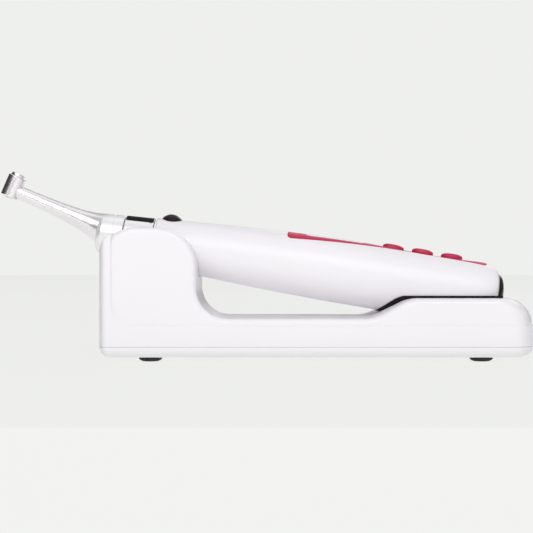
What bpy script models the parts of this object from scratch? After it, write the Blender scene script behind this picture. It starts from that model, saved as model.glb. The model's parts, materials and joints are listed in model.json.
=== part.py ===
"""Cordless endodontic motor resting in its charging dock.

Dimensions are in millimetres, and MM turns them into metres. The origin is the middle of
the footprint, on the surface that the dock stands on. +X runs from the contra-angle head
to the tail of the handpiece, -Y is the front face and +Z is up.
"""

import math

import bmesh
import bpy
from mathutils import Matrix, Vector

MM = 0.001
GAP = 0.3  # clearance between neighbouring pieces

# Dock, outside
DOCK_LEFT = -69.9
DOCK_RIGHT = 116.0
DOCK_HALF_WIDTH = 30.0
COVER_BOTTOM = 1.8
SEAM_HEIGHT = 6.6
BRIDGE_TOP = 18.3
PAD_TOP = 26.6
TOWER_TOP = 56.5
TOWER_RIGHT = -28.6
TOWER_JOINT = 32.0  # where the cradle, the tower's upper part, meets the base
PAD_RAMP_FOOT = 46.5
PAD_RAMP_HEAD = 61.6
TOWER_LEFT_RADIUS = 13.0
TOWER_RIGHT_RADIUS = 17.0
BRIDGE_FILLET = 13.0
RAMP_RADIUS = 16.0
SHOULDER_RADIUS = 11.5
LEFT_PLAN_CORNER = (3.6, 10.0)  # half axes of the elliptical corners, along X and Y
RIGHT_PLAN_CORNER = (11.0, 22.0)

# Dock, inside
DOCK_WALL = 2.2
REACH = 40.0  # how far the cutters go to the front and back, past the dock's sides
CHANNEL_GAP = 0.5  # between the handpiece and the notch or trough that it rests in
NOTCH = (-30.0, 30.0, 11.5)  # its ends along the handpiece, and its least radius less the gap
TROUGH = (80.0, 156.4, 14.2)
FOOT_RADIUS = 5.0
FOOT_HEIGHT = COVER_BOTTOM - GAP
FOOT_PLACES = {"left": -48.3, "right": 92.3}
FOOT_OFFSET = 20.0
SCREW_PLACES = {"left": (-20.0, 16.5), "right": (75.0, 25.0)}  # X, and the top of its post
SCREW_OFFSET = 21.0
POST_RADIUS = 3.0
SOCKET_PLACE = (-50.0, 12.5)  # X and Z of the power socket's axis, in the back wall
SOCKET_BORE = 3.7
LIGHT_PLACE = (DOCK_RIGHT - 1.2, 0.0, 13.0)

# Handpiece, in its own frame: X from its front face to its tail, Z towards the keys
HANDPIECE_PLACE = (-48.9, 0.0, 51.2)
HANDPIECE_TILT = 9.0
CASING_RADII = (
    (1.0, 10.5), (20.0, 11.6), (40.0, 12.7), (60.0, 13.5), (80.0, 14.0), (104.0, 14.2),
    (128.0, 14.0), (140.0, 13.8), (146.0, 13.4), (149.5, 12.4), (151.3, 11.1), (152.1, 9.6),
)
CASING_WALL = 1.6
TAIL_INSERT_START = 152.4
TAIL_INSERT_RADIUS = 9.4
TAIL_INSERT_DOME = 3.1
PANEL_ENDS = (58.0, 146.0)
PANEL_WIDE, PANEL_NARROW = 8.2, 5.6  # half widths at its front end and beside the keys
PANEL_TAPER_END = 100.0
PANEL_THICKNESS = 1.6
WINDOW_ENDS = (66.0, 92.0)
WINDOW_HALF_WIDTH = 4.6
KEY_CENTRES = {"mode": 104.8, "down": 117.8, "up": 130.8}
KEY_HALF_SIZES = (4.75, 3.0)
KEY_TOP = 15.3
KEY_TRAVEL = 0.6
MAIN_BUTTON_CENTRE = 7.0
MAIN_BUTTON_RADIUS = 4.5
MAIN_BUTTON_TOP = 13.1
CELL_CENTRE_HEIGHT = -2.3
CELL_RADIUS = 9.1
CELL_ENDS = (68.0, 133.0)
CONTACT_OFFSET = 3.0
CONTACT_HEIGHT = -2.5
CONTACT_BLOCK_FRONT = 156.8
PIN_RADIUS = 0.8

# Contra-angle: the neck's frame has its X along the neck, and its origin where the axes meet
ELBOW_AXIAL = -14.8  # the elbow point, along the handpiece's X
NECK_TILT = 23.5
HEAD_REACH = 51.6
HEAD_RADIUS = 4.0
HEAD_BOTTOM, HEAD_TOP = -3.7, 6.2
HEAD_BORE = 3.45
CAP_RADIUS = 3.12
CAP_TOP = 7.5
NECK_BORE = 2.1
SPINDLE_RADIUS = 1.55
SHANK_BORE = 1.18
COLLAR_BORE = 6.8
COLLAR_ENDS = (-13.0, -0.4)
NECK_RADII = ((-49.0, 2.9), (-38.8, 3.1), (-32.2, 3.35), (-25.5, 3.75), (-19.0, 4.35))
ELBOW_SECTIONS = ((-75.8, 57.9, 6.1, 21.0), (-70.3, 54.6, 8.7, 16.0), (-62.1, 53.29, 9.4, 9.0))

# Gears and dogs
ELBOW_TEETH = 12
PINION_TEETH = 8
CROWN_TEETH = 16
DOG_TEETH = 6
PINION_CONE = math.degrees(math.atan2(PINION_TEETH, CROWN_TEETH))
ELBOW_CONE = 90.0 - (NECK_TILT - HANDPIECE_TILT) / 2


def clear_scene():
    for obj in list(bpy.data.objects):
        bpy.data.objects.remove(obj, do_unlink=True)


def material(name, colour, roughness, metallic=0.0):
    made = bpy.data.materials.new(name)
    made.use_nodes = True
    shader = made.node_tree.nodes["Principled BSDF"]
    shader.inputs["Base Color"].default_value = (*colour, 1.0)
    shader.inputs["Roughness"].default_value = roughness
    shader.inputs["Metallic"].default_value = metallic
    return made


def frame(x, y, z, tilt):
    """A frame whose X points along +X and down by tilt degrees."""
    return Matrix.Translation(Vector((x, y, z))) @ Matrix.Rotation(math.radians(tilt), 4, "Y")


def empty(name, matrix):
    made = bpy.data.objects.new(name, None)
    bpy.context.scene.collection.objects.link(made)
    made.matrix_world = matrix.copy()
    made.location = made.location * MM
    return made


def in_metres(matrix):
    scaled = matrix.copy()
    scaled.translation = matrix.translation * MM
    return scaled


def add(name, build, paint=None, parent=None, local=None):
    """Links the mesh in build, a bmesh in millimetres, as an object placed in its parent's frame."""
    bmesh.ops.recalc_face_normals(build, faces=build.faces)
    bmesh.ops.scale(build, vec=(MM, MM, MM), verts=build.verts)
    mesh = bpy.data.meshes.new(name)
    build.to_mesh(mesh)
    build.free()
    made = bpy.data.objects.new(name, mesh)
    bpy.context.scene.collection.objects.link(made)
    made.parent = parent
    made.matrix_local = in_metres(local or Matrix.Identity(4))
    if paint:
        mesh.materials.append(paint)
        mesh.shade_smooth()
        mesh.set_sharp_from_angle(angle=math.radians(35))
    else:
        made.hide_render = True
        made.display_type = "WIRE"
    return made


def boolean(target, other, operation="DIFFERENCE"):
    modifier = target.modifiers.new(operation.lower(), "BOOLEAN")
    modifier.operation = operation
    modifier.object = other
    modifier.solver = "EXACT"


def loft(rings):
    """Joins rings of equally many points and caps the two ends."""
    build = bmesh.new()
    loops = [[build.verts.new(point) for point in ring] for ring in rings]
    for near, far in zip(loops, loops[1:]):
        for i in range(len(near)):
            j = (i + 1) % len(near)
            build.faces.new((near[i], near[j], far[j], far[i]))
    build.faces.new(loops[0][::-1])
    build.faces.new(loops[-1])
    return build


def prism(outline, axis, low, high):
    """Extrudes an outline: its two coordinates are the axes other than axis, in order."""
    def lift(point, level):
        values = list(point)
        values.insert(axis, level)
        return values

    return loft([[lift(point, level) for point in outline] for level in (low, high)])


def box(low, high):
    outline = ((low[0], low[1]), (high[0], low[1]), (high[0], high[1]), (low[0], high[1]))
    return prism(outline, 2, low[2], high[2])


def circle(radius, steps, centre=(0.0, 0.0)):
    turns = [2 * math.pi * i / steps for i in range(steps)]
    return [(centre[0] + radius * math.sin(a), centre[1] + radius * math.cos(a)) for a in turns]


def turned(profile, steps=24, teeth=0, phase=0.0, share=0.3):
    """Turns a profile of (x, radius) stations about X.

    A station (x, radius, tip_x, tip_radius) moves to its second place on each tooth. Each
    tooth takes share of its pitch at the tip, and phase is the first tooth's place in
    pitches, from +Z. A profile that leaves the axis at neither end is closed on itself.
    """
    if teeth:
        spots = [(-share / 2 - 0.12, 0), (-share / 2, 1), (share / 2, 1), (share / 2 + 0.12, 0)]
        angles = [
            (2 * math.pi * (tooth + phase + spot) / teeth, high)
            for tooth in range(teeth)
            for spot, high in spots
        ]
    else:
        angles = [(2 * math.pi * i / steps, 0) for i in range(steps)]
    build = bmesh.new()
    rings = []
    for station in profile:
        if station[1] == 0:
            rings.append([build.verts.new((station[0], 0, 0))])
            continue
        ring = []
        for angle, high in angles:
            x, radius = station[2:] if high and len(station) == 4 else station[:2]
            ring.append(build.verts.new((x, radius * math.sin(angle), radius * math.cos(angle))))
        rings.append(ring)
    solid = len(rings[0]) == 1
    for near, far in zip(rings, rings[1:] + ([] if solid else rings[:1])):
        for i in range(len(angles)):
            j = (i + 1) % len(angles)
            if len(near) == 1:
                corners = [near[0], far[j], far[i]]
            elif len(far) == 1:
                corners = [near[i], near[j], far[0]]
            else:
                corners = [near[i], near[j], far[j], far[i]]
            build.faces.new(corners)
    return build


def ring(start, end, inner, outer, steps=20):
    return turned(((start, inner), (start, outer), (end, outer), (end, inner)), steps)


def rod(start, end, radius, steps=20):
    return turned(((start, 0), (start, radius), (end, radius), (end, 0)), steps)


def rounded_outline(corners, steps=6):
    """An outline of (x, z, radius) corners with each corner rounded by an arc."""
    points = []
    for i, (x, z, radius) in enumerate(corners):
        here = Vector((x, z))
        if radius == 0:
            points.append((x, z))
            continue
        back = (Vector(corners[i - 1][:2]) - here).normalized()
        ahead = (Vector(corners[(i + 1) % len(corners)][:2]) - here).normalized()
        half = math.acos(max(-1.0, min(1.0, back.dot(ahead)))) / 2
        centre = here + (back + ahead).normalized() * radius / math.sin(half)
        start = here + back * radius / math.tan(half) - centre
        end = here + ahead * radius / math.tan(half) - centre
        sweep = start.angle_signed(end)
        for step in range(steps + 1):
            turn = Matrix.Rotation(-sweep * step / steps, 2)
            points.append(tuple(centre + turn @ start))
    return points


def dock_profile(inset, bottom):
    """The dock from the side, in X and Z."""
    top = TOWER_TOP - inset
    return rounded_outline((
        (DOCK_LEFT + inset, bottom, 0),
        (DOCK_RIGHT - inset, bottom, 0),
        (DOCK_RIGHT - inset, PAD_TOP - inset, SHOULDER_RADIUS - inset),
        (PAD_RAMP_HEAD + inset / 4, PAD_TOP - inset, RAMP_RADIUS - inset),
        (PAD_RAMP_FOOT + inset / 4, BRIDGE_TOP - inset, RAMP_RADIUS + inset),
        (TOWER_RIGHT - inset, BRIDGE_TOP - inset, BRIDGE_FILLET + inset),
        (TOWER_RIGHT - inset, top, TOWER_RIGHT_RADIUS - inset),
        (DOCK_LEFT + inset, top, TOWER_LEFT_RADIUS - inset),
    ))


def dock_plan(inset, steps=6):
    """The dock from above, in X and Y, with elliptical corners."""
    corners = (
        (DOCK_LEFT, -1, LEFT_PLAN_CORNER, -1),
        (DOCK_RIGHT, 1, RIGHT_PLAN_CORNER, -1),
        (DOCK_RIGHT, 1, RIGHT_PLAN_CORNER, 1),
        (DOCK_LEFT, -1, LEFT_PLAN_CORNER, 1),
    )
    points = []
    for end, side, (along, across), way in corners:
        centre_x = end - side * along
        centre_y = way * (DOCK_HALF_WIDTH - across)
        outward = side * (along - inset)
        sideways = way * (across - inset)
        for step in range(steps + 1):
            a = math.pi / 2 * step / steps
            if side * way < 0:
                a = math.pi / 2 - a  # walked from the long wall to the end wall
            points.append((centre_x + outward * math.cos(a), centre_y + sideways * math.sin(a)))
    return points


def casing_radius(x):
    """The casing's outer radius at x, straight between the stations of CASING_RADII."""
    stations = CASING_RADII
    if x <= stations[0][0]:
        return stations[0][1]
    for (x0, r0), (x1, r1) in zip(stations, stations[1:]):
        if x <= x1:
            return r0 + (r1 - r0) * (x - x0) / (x1 - x0)
    return stations[-1][1]


def channel(start, end, grow, least, steps=12):
    """The space that the handpiece needs when it is lifted out: a long U, open upwards."""
    rings = []
    for i in range(5):
        x = start + (end - start) * i / 4
        radius = max(casing_radius(x), least) + grow
        arc = [math.pi * step / steps for step in range(steps + 1)]
        curve = [(x, radius * math.cos(a), -radius * math.sin(a)) for a in arc]
        rings.append([(x, radius, 40.0)] + curve + [(x, -radius, 40.0)])
    return loft(rings)


def plate(start, end, half_width, grow=0.0, lift=0.15, thickness=PANEL_THICKNESS, steps=8):
    """A strip of the casing's skin along its top, with a half width that may vary along X."""
    rings = []
    count = 9
    for i in range(count):
        x = start - grow + (end - start + 2 * grow) * i / (count - 1)
        radius = casing_radius(x) + lift
        width = half_width(x) + grow
        outer = [width * (2 * step / steps - 1) for step in range(steps + 1)]
        top = [(x, y, math.sqrt(radius ** 2 - y ** 2)) for y in outer]
        below = [(x, y, math.sqrt(radius ** 2 - y ** 2) - thickness) for y in reversed(outer)]
        rings.append(top + below)
    return loft(rings)


def panel_half_width(x):
    share = min(1.0, max(0.0, (x - PANEL_ENDS[0]) / (PANEL_TAPER_END - PANEL_ENDS[0])))
    return PANEL_WIDE + (PANEL_NARROW - PANEL_WIDE) * share


def window_half_width(x):
    return WINDOW_HALF_WIDTH


def tooth_station(cone, side, distance, height, depth):
    """Root and tip of a bevel tooth, at a distance from an apex at X = 0."""
    turn = math.radians(cone)
    x = side * distance * math.cos(turn)
    radius = distance * math.sin(turn)
    out_x = -side * math.sin(turn)
    out_r = math.cos(turn)
    return (x - depth * out_x, radius - depth * out_r, x + height * out_x, radius + height * out_r)


def upright(x, y, z):
    """A frame in its parent with X pointing along the parent's +Z, for turned pieces."""
    turn = Matrix(((0, 0, 1, 0), (0, -1, 0, 0), (1, 0, 0, 0), (0, 0, 0, 1)))
    return Matrix.Translation(Vector((x, y, z))) @ turn


def across(x, y, z):
    """A frame with X pointing along +Y, for turned pieces."""
    return Matrix.Translation(Vector((x, y, z))) @ Matrix.Rotation(math.pi / 2, 4, "Z")


def shift(x, y=0.0, z=0.0):
    return Matrix.Translation(Vector((x, y, z)))


def make_dock(paint, hand):
    """A hollow base, and the solid cradle on the tower's top that holds the handpiece's front."""
    plan = add("cut_plan", prism(dock_plan(0.0), 2, 0.0, 70.0))
    cavity = add("cut_cavity", prism(dock_profile(DOCK_WALL, SEAM_HEIGHT - 5.0), 1, -REACH, REACH))
    boolean(cavity, add("cut_plan_inner", prism(dock_plan(DOCK_WALL), 2, 0.0, 70.0)), "INTERSECT")
    slots = []
    for name, (start, end, least) in {"notch": NOTCH, "trough": TROUGH}.items():
        slots.append(add("cut_" + name, channel(start, end, CHANNEL_GAP, least), None, hand))
        wide = channel(start - 5.0, end + DOCK_WALL, CHANNEL_GAP + DOCK_WALL, least)
        boolean(cavity, add("keep_" + name, wide, None, hand))

    shell = add("base_upper_shell", prism(dock_profile(0.0, SEAM_HEIGHT), 1, -REACH, REACH), paint["white"])
    cradle = add("tower_cradle", prism(dock_profile(0.0, SEAM_HEIGHT), 1, -REACH, REACH), paint["white"])
    above = box((DOCK_LEFT - 1.0, -REACH, TOWER_JOINT), (DOCK_RIGHT + 1.0, REACH, TOWER_TOP + 1.0))
    below = box((DOCK_LEFT - 1.0, -REACH, 0.0), (DOCK_RIGHT + 1.0, REACH, TOWER_JOINT + GAP))
    boolean(shell, add("cut_above", above))
    boolean(cradle, plan, "INTERSECT")
    boolean(cradle, add("cut_below", below))
    for part in (shell, cradle):
        for slot in slots:
            boolean(part, slot)
    boolean(shell, plan, "INTERSECT")
    boolean(shell, cavity)

    for side, (x, top) in SCREW_PLACES.items():
        for way, word in ((-1, "front"), (1, "back")):
            name = f"{word}_{side}"
            spot = (x, way * SCREW_OFFSET)
            post = add("post_" + name, prism(circle(POST_RADIUS, 16, spot), 2, SEAM_HEIGHT + 0.4, top))
            boolean(shell, post, "UNION")
    for side, (x, top) in SCREW_PLACES.items():
        for way, word in ((-1, "front"), (1, "back")):
            hole = prism(circle(1.4, 12, (x, way * SCREW_OFFSET)), 2, 0.0, 13.0)
            boolean(shell, add(f"cut_thread_{word}_{side}", hole))

    back = DOCK_HALF_WIDTH
    socket_hole = add("cut_socket", rod(-4.0, 2.0, SOCKET_BORE + 0.5), None, None,
                      across(SOCKET_PLACE[0], back, SOCKET_PLACE[1]))
    boolean(shell, socket_hole)
    block_hole = box((150.0, -6.3, -8.3), (CONTACT_BLOCK_FRONT + 7.5, 6.3, 6.0))
    boolean(shell, add("cut_contact_block", block_hole, None, hand))
    light_hole = rod(-6.0, 6.0, 1.6, 16)
    boolean(shell, add("cut_status_light", light_hole, None, None, shift(*LIGHT_PLACE)))

    lens = turned(((-3.2, 0), (-3.2, 2.2), (-2.6, 2.2), (-2.6, 1.2), (0.9, 1.2), (1.2, 0)), 16)
    add("status_light", lens, paint["lens"], None, shift(*LIGHT_PLACE))
    make_cover(paint)

    board = box((-58.0, -15.0, 8.0), (32.0, 15.0, 9.6))
    add("charging_board", board, paint["board"])
    make_socket(paint)
    make_contacts(paint, hand)


def make_cover(paint):
    levels = ((COVER_BOTTOM, 4.0), (2.3, 2.2), (3.4, 0.9), (4.8, 0.2), (SEAM_HEIGHT - GAP, 0.0))
    rings = [[(x, y, z) for x, y in dock_plan(inset)] for z, inset in levels]
    cover = add("base_bottom_cover", loft(rings), paint["white"])
    boolean(cover, add("cut_tray", prism(dock_plan(4.4), 2, 4.0, 9.0)))
    for side, (x, _) in SCREW_PLACES.items():
        for way, word in ((-1, "front"), (1, "back")):
            name = f"{word}_{side}"
            spot = (x, way * SCREW_OFFSET)
            head_room = turned(((0.0, 0), (0.0, 2.6), (3.0, 2.6), (3.0, 1.4), (6.0, 1.4), (6.0, 0)), 16)
            boolean(cover, add("cut_screw_" + name, head_room, None, None, upright(*spot, 0.0)))
            screw = ((1.9, 0), (1.9, 1.9), (2.1, 2.2), (2.7, 2.2), (2.7, 1.0), (12.0, 1.0), (12.6, 0))
            add("cover_screw_" + name, turned(screw, 12), paint["steel"], None, upright(*spot, 0.0))
    for side, x in FOOT_PLACES.items():
        for way, word in ((-1, "front"), (1, "back")):
            foot = ((0.0, 0), (0.0, 4.6), (0.4, FOOT_RADIUS), (FOOT_HEIGHT, FOOT_RADIUS),
                    (FOOT_HEIGHT, 0))
            name = f"foot_{word}_{side}"
            add(name, turned(foot, 20), paint["rubber"], None, upright(x, way * FOOT_OFFSET, 0.0))


def make_socket(paint):
    x, z = SOCKET_PLACE
    face = DOCK_HALF_WIDTH - DOCK_WALL - GAP
    body = box((x - 5.5, face - 10.5, z - 4.4), (x + 5.5, face, z + 4.8))
    socket = add("power_socket", body, paint["black"])
    bore = turned(((-5.0, 0), (-5.0, 0.9), (-9.0, 0.9), (-9.0, SOCKET_BORE), (2.0, SOCKET_BORE),
                   (2.0, 0)), 24)
    boolean(socket, add("cut_socket_bore", bore, None, None, across(x, face, z)))


def make_contacts(paint, hand):
    block = box((CONTACT_BLOCK_FRONT, -6.0, -8.0), (CONTACT_BLOCK_FRONT + 4.0, 6.0, -0.6))
    block = add("contact_block", block, paint["black"], hand)
    for way, word in ((-1, "front"), (1, "back")):
        place = shift(CONTACT_BLOCK_FRONT - 1.1, way * CONTACT_OFFSET, CONTACT_HEIGHT)
        hole = rod(-2.0, 9.0, PIN_RADIUS + GAP, 16)
        boolean(block, add("cut_pin_" + word, hole, None, hand, place))
        pin = turned(((0.0, 0), (0.0, 0.4), (0.4, PIN_RADIUS), (5.5, PIN_RADIUS), (5.5, 1.5),
                      (6.3, 1.5), (6.3, 0)), 16)
        add("charge_pin_" + word, pin, paint["gold"], hand, place)


def half_casing(way):
    """One half of the casing: sections of an outer and an inner half circle, way is -1 or 1."""
    steps = 12
    rings = []
    for x, radius in CASING_RADII:
        points = []
        for level, order in ((radius, range(steps + 1)), (radius - CASING_WALL, range(steps, -1, -1))):
            for step in order:
                a = math.pi * step / steps
                y = way * (GAP / 2 + (level - GAP / 2) * math.sin(a))
                points.append((x, y, -level * math.cos(a)))
        rings.append(points)
    return loft(rings)


def make_handpiece(paint, hand):
    button_hole = add("cut_main_button", prism(circle(MAIN_BUTTON_RADIUS + GAP, 28), 2, 4.0, 20.0),
                      None, hand, shift(MAIN_BUTTON_CENTRE))
    opening = plate(*PANEL_ENDS, panel_half_width, GAP, 3.0, 8.0)
    panel_hole = add("cut_panel", opening, None, hand)
    for way, word in ((-1, "casing_front_half"), (1, "casing_back_half")):
        casing = add(word, half_casing(way), paint["white"], hand)
        boolean(casing, button_hole)
        boolean(casing, panel_hole)

    panel = add("control_panel", plate(*PANEL_ENDS, panel_half_width), paint["crimson"], hand)
    window_hole = plate(*WINDOW_ENDS, window_half_width, GAP, 2.0, 8.0)
    boolean(panel, add("cut_window", window_hole, None, hand))
    window = plate(*WINDOW_ENDS, window_half_width, 0.0, 0.1, 1.2)
    add("display_window", window, paint["window"], hand)
    make_keys(paint, hand, panel)
    make_button(paint, hand)

    nose_ring = ((0.0, 6.6), (0.0, 9.9), (0.25, 10.4), (0.7, 10.45), (0.7, 8.5), (2.0, 8.5), (2.0, 6.6))
    add("nose_ring", turned(nose_ring, 32), paint["white"], hand)
    nose = ((-6.0, 3.2), (-6.0, 5.8), (-5.6, 6.2), (-4.5, 6.2), (-4.5, 5.3), (-2.7, 5.3), (-2.7, 6.2),
            (1.9, 6.2), (1.9, 3.2))
    add("motor_nose", turned(nose, 24), paint["steel"], hand)
    seal = ((-4.2, 5.6), (-4.2, 6.2), (-3.9, 6.5), (-3.3, 6.5), (-3.0, 6.2), (-3.0, 5.6))
    add("nose_seal", turned(seal, 20), paint["rubber"], hand)

    gearhead = turned(((8.0, 0), (8.0, 1.6), (2.3, 1.6), (2.3, 5.6), (19.6, 5.6), (19.6, 0)), 20)
    add("gearhead", gearhead, paint["steel"], hand)
    can = ((20.0, 0), (20.0, 8.0), (46.0, 8.0), (47.0, 7.2), (47.0, 3.0), (49.0, 3.0), (49.0, 0))
    add("motor_can", turned(can, 20), paint["steel"], hand)
    add("motor_cradle", ring(30.0, 36.0, 8.35, 10.0), paint["black"], hand)

    start, end = CELL_ENDS
    lower = shift(0.0, 0.0, CELL_CENTRE_HEIGHT)
    cell = ((start, 0), (start, CELL_RADIUS - 0.5), (start + 0.5, CELL_RADIUS), (end - 0.5, CELL_RADIUS),
            (end, CELL_RADIUS - 0.5), (end, 2.5), (end + 1.2, 2.5), (end + 1.2, 0))
    add("battery_cell", turned(cell, 24), paint["cell"], hand, lower)
    add("battery_clip_front", box((start - 1.6, -4.0, -6.0), (start - 0.8, 4.0, 6.6)), paint["gold"], hand)
    add("battery_clip_rear", box((end + 2.0, -4.0, -6.0), (end + 2.8, 4.0, 6.6)), paint["gold"], hand)
    add("main_board", box((56.0, -7.6, 7.4), (142.0, 7.6, 8.6)), paint["board"], hand)
    module = box((WINDOW_ENDS[0] - 1.0, -5.0, 8.9), (WINDOW_ENDS[1] + 1.0, 5.0, 10.3))
    add("display_module", module, paint["black"], hand)
    make_tail(paint, hand)


def make_keys(paint, hand, panel):
    for word, x in KEY_CENTRES.items():
        oval = Matrix.Diagonal((1.0, KEY_HALF_SIZES[1], KEY_HALF_SIZES[0], 1.0))
        key = turned(((10.0, 0), (10.0, 1.12), (10.9, 1.12), (10.9, 1.0), (14.3, 1.0), (14.9, 0.93),
                      (KEY_TOP, 0.6), (KEY_TOP, 0)), 20)
        bmesh.ops.transform(key, matrix=oval, verts=key.verts)
        add("key_" + word, key, paint["crimson"], hand, upright(x, 0.0, 0.0))
        hole = [(x * (KEY_HALF_SIZES[0] + GAP), y * (KEY_HALF_SIZES[1] + GAP)) for x, y in circle(1.0, 20)]
        boolean(panel, add("cut_key_" + word, prism(hole, 2, 8.0, 20.0), None, hand, shift(x)))


def make_button(paint, hand):
    r = MAIN_BUTTON_RADIUS
    top = MAIN_BUTTON_TOP
    shape = ((6.5, 0), (6.5, r + 0.3), (7.1, r + 0.3), (7.1, r), (10.0, r), (11.2, r * 0.93),
             (12.3, r * 0.72), (12.9, r * 0.4), (top, 0))
    add("main_button", turned(shape, 24), paint["black"], hand, upright(MAIN_BUTTON_CENTRE, 0.0, 0.0))


def make_tail(paint, hand):
    start = TAIL_INSERT_START
    radius = TAIL_INSERT_RADIUS
    shape = [(start - 4.0, 0), (start - 4.0, 7.5), (start, 7.5), (start, radius)]
    for step in range(1, 7):
        share = step / 6
        shape.append((start + TAIL_INSERT_DOME * math.sin(share * math.pi / 2),
                      radius * math.cos(share * math.pi / 2) if step < 6 else 0))
    insert = add("tail_insert", turned(shape, 28), paint["black"], hand)
    for way, word in ((-1, "front"), (1, "back")):
        place = shift(start + 1.4, way * CONTACT_OFFSET, CONTACT_HEIGHT)
        boolean(insert, add("cut_pad_" + word, rod(0.0, 4.0, 1.8, 16), None, hand, place))
        add("contact_pad_" + word, rod(0.3, 1.3, 1.5, 16), paint["gold"], hand, place)


def make_drive(paint, hand, neck):
    cone = ELBOW_CONE
    inner, outer = 3.4, 5.2
    lift = (0.5, 0.8)
    faces = [tooth_station(cone, 1, distance, *lift) for distance in (inner, outer)]
    add_drive_shaft(paint, hand, faces, inner, outer)

    motor = turned(((-6.4, 0), (-6.4, 1.2, -7.5, 1.2), (-6.4, 2.6, -7.5, 2.6), (-5.4, 2.6), (-5.4, 1.2),
                    (7.5, 1.2), (7.5, 0)), teeth=DOG_TEETH)
    add("motor_shaft", motor, paint["steel"], hand)

    back = [tooth_station(cone, -1, distance, *lift) for distance in (outer, inner)]
    pinion = [tooth_station(PINION_CONE, 1, distance, 0.25, 0.4) for distance in (2.29, 3.24)]
    pinion = [(x - HEAD_REACH, r, tx - HEAD_REACH, tr) for x, r, tx, tr in pinion]
    start = -HEAD_REACH
    neck_gear = turned([(-2.6, 0), (-2.6, outer)] + back + [(-1.0, inner - 0.6), (-1.0, 0)],
                       teeth=ELBOW_TEETH)
    gear = add("neck_shaft", neck_gear, paint["steel"], neck)
    stem = turned([(start + 2.3, 0), (start + 2.3, 0.4)] + pinion + [(start + 3.7, 1.1),
                  (start + 3.7, 0.9), (-2.2, 0.9), (-2.2, 0)], teeth=PINION_TEETH)
    boolean(gear, add("neck_stem", stem, None, neck), "UNION")
    add("neck_bearing", ring(-8.0, -6.6, 1.2, 1.8), paint["steel"], neck)
    add("drive_bearing", ring(2.9, 4.4, 1.85, 6.4), paint["steel"], hand, shift(ELBOW_AXIAL))

    crown = [tooth_station(90.0 - PINION_CONE, 1, distance, 0.25, 0.4) for distance in (2.29, 3.24)]
    spindle = turned([(-3.9, SHANK_BORE), (-3.9, SPINDLE_RADIUS), (0.9, SPINDLE_RADIUS)] + crown
                     + [(2.5, 2.7), (2.5, SPINDLE_RADIUS), (4.3, SPINDLE_RADIUS), (4.3, SHANK_BORE)],
                     teeth=CROWN_TEETH, phase=0.5)
    add("chuck_spindle", spindle, paint["steel"], neck, upright(-HEAD_REACH, 0.0, 0.0))
    for word, low, high in (("lower", -3.0, -1.9), ("upper", 2.9, 4.2)):
        bearing = ring(low, high, SPINDLE_RADIUS + GAP, HEAD_BORE - GAP)
        add("head_bearing_" + word, bearing, paint["steel"], neck, upright(-HEAD_REACH, 0.0, 0.0))
    add("cap_spring", ring(4.6, 4.9, 1.8, 2.9), paint["steel"], neck, upright(-HEAD_REACH, 0.0, 0.0))
    cap = turned(((5.9, 0), (5.9, CAP_RADIUS), (CAP_TOP - 0.4, CAP_RADIUS),
                  (CAP_TOP - 0.1, CAP_RADIUS - 0.2), (CAP_TOP, CAP_RADIUS - 0.6), (CAP_TOP, 0)), 32)
    add("push_cap", cap, paint["steel"], neck, upright(-HEAD_REACH, 0.0, 0.0))


def add_drive_shaft(paint, hand, faces, inner, outer):
    gear = turned([(1.0, 0), (1.0, inner - 0.6)] + faces + [(2.5, outer), (2.5, 0)],
                  teeth=ELBOW_TEETH, phase=0.5)
    shaft = add("drive_shaft", gear, paint["steel"], hand, shift(ELBOW_AXIAL))
    dog = turned(((2.0, 0), (2.0, 1.5), (5.8, 1.5), (5.8, 2.6), (6.8, 2.6, 7.9, 2.6),
                  (6.8, 1.2, 7.9, 1.2), (6.8, 0)), teeth=DOG_TEETH, phase=0.5)
    boolean(shaft, add("drive_stem", dog, None, hand, shift(ELBOW_AXIAL)), "UNION")


def make_contra_angle(paint, hand, neck):
    to_neck = neck_matrix()
    rings = []
    for x, radius in NECK_RADII:
        rings.append([to_neck @ Vector((x, y, z)) for y, z in circle(radius, 28)])
    for x, z, radius, tilt in ELBOW_SECTIONS:
        rings.append([frame(x, 0.0, z, tilt) @ Vector((0.0, y, h)) for y, h in circle(radius, 28)])
    body = add("angle_body", loft(rings), paint["satin"])
    head = turned(((HEAD_BOTTOM, 0), (HEAD_BOTTOM, 3.6), (HEAD_BOTTOM + 0.4, HEAD_RADIUS),
                   (HEAD_TOP - 0.4, HEAD_RADIUS), (HEAD_TOP, 3.75), (HEAD_TOP, 0)), 36)
    at_head = upright(-HEAD_REACH, 0.0, 0.0)
    boolean(body, add("add_head", head, None, neck, at_head), "UNION")
    hollow = turned(((-6.0, 0), (-6.0, 1.9), (-3.3, 1.9), (-3.3, HEAD_BORE), (9.0, HEAD_BORE), (9.0, 0)), 32)
    boolean(body, add("cut_head", hollow, None, neck, at_head))
    bore = turned(((-HEAD_REACH + 1.0, 0), (-HEAD_REACH + 1.0, NECK_BORE), (-4.6, NECK_BORE), (-4.6, 5.8),
                   (2.0, 5.8), (2.0, 0)), 24)
    boolean(body, add("cut_neck", bore, None, neck))
    boolean(body, add("cut_elbow", rod(-2.4, 8.0, COLLAR_BORE, 28), None, hand, shift(ELBOW_AXIAL)))

    start, end = COLLAR_ENDS
    collar = ((start, COLLAR_BORE), (start, 9.2), (start + 0.3, 9.5), (end - 0.3, 10.2), (end, 9.9),
              (end, COLLAR_BORE))
    add("coupling_collar", turned(collar, 32), paint["polished"], hand)


def neck_matrix():
    elbow = frame(*HANDPIECE_PLACE, HANDPIECE_TILT) @ Vector((ELBOW_AXIAL, 0.0, 0.0))
    return frame(*elbow, NECK_TILT)


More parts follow.
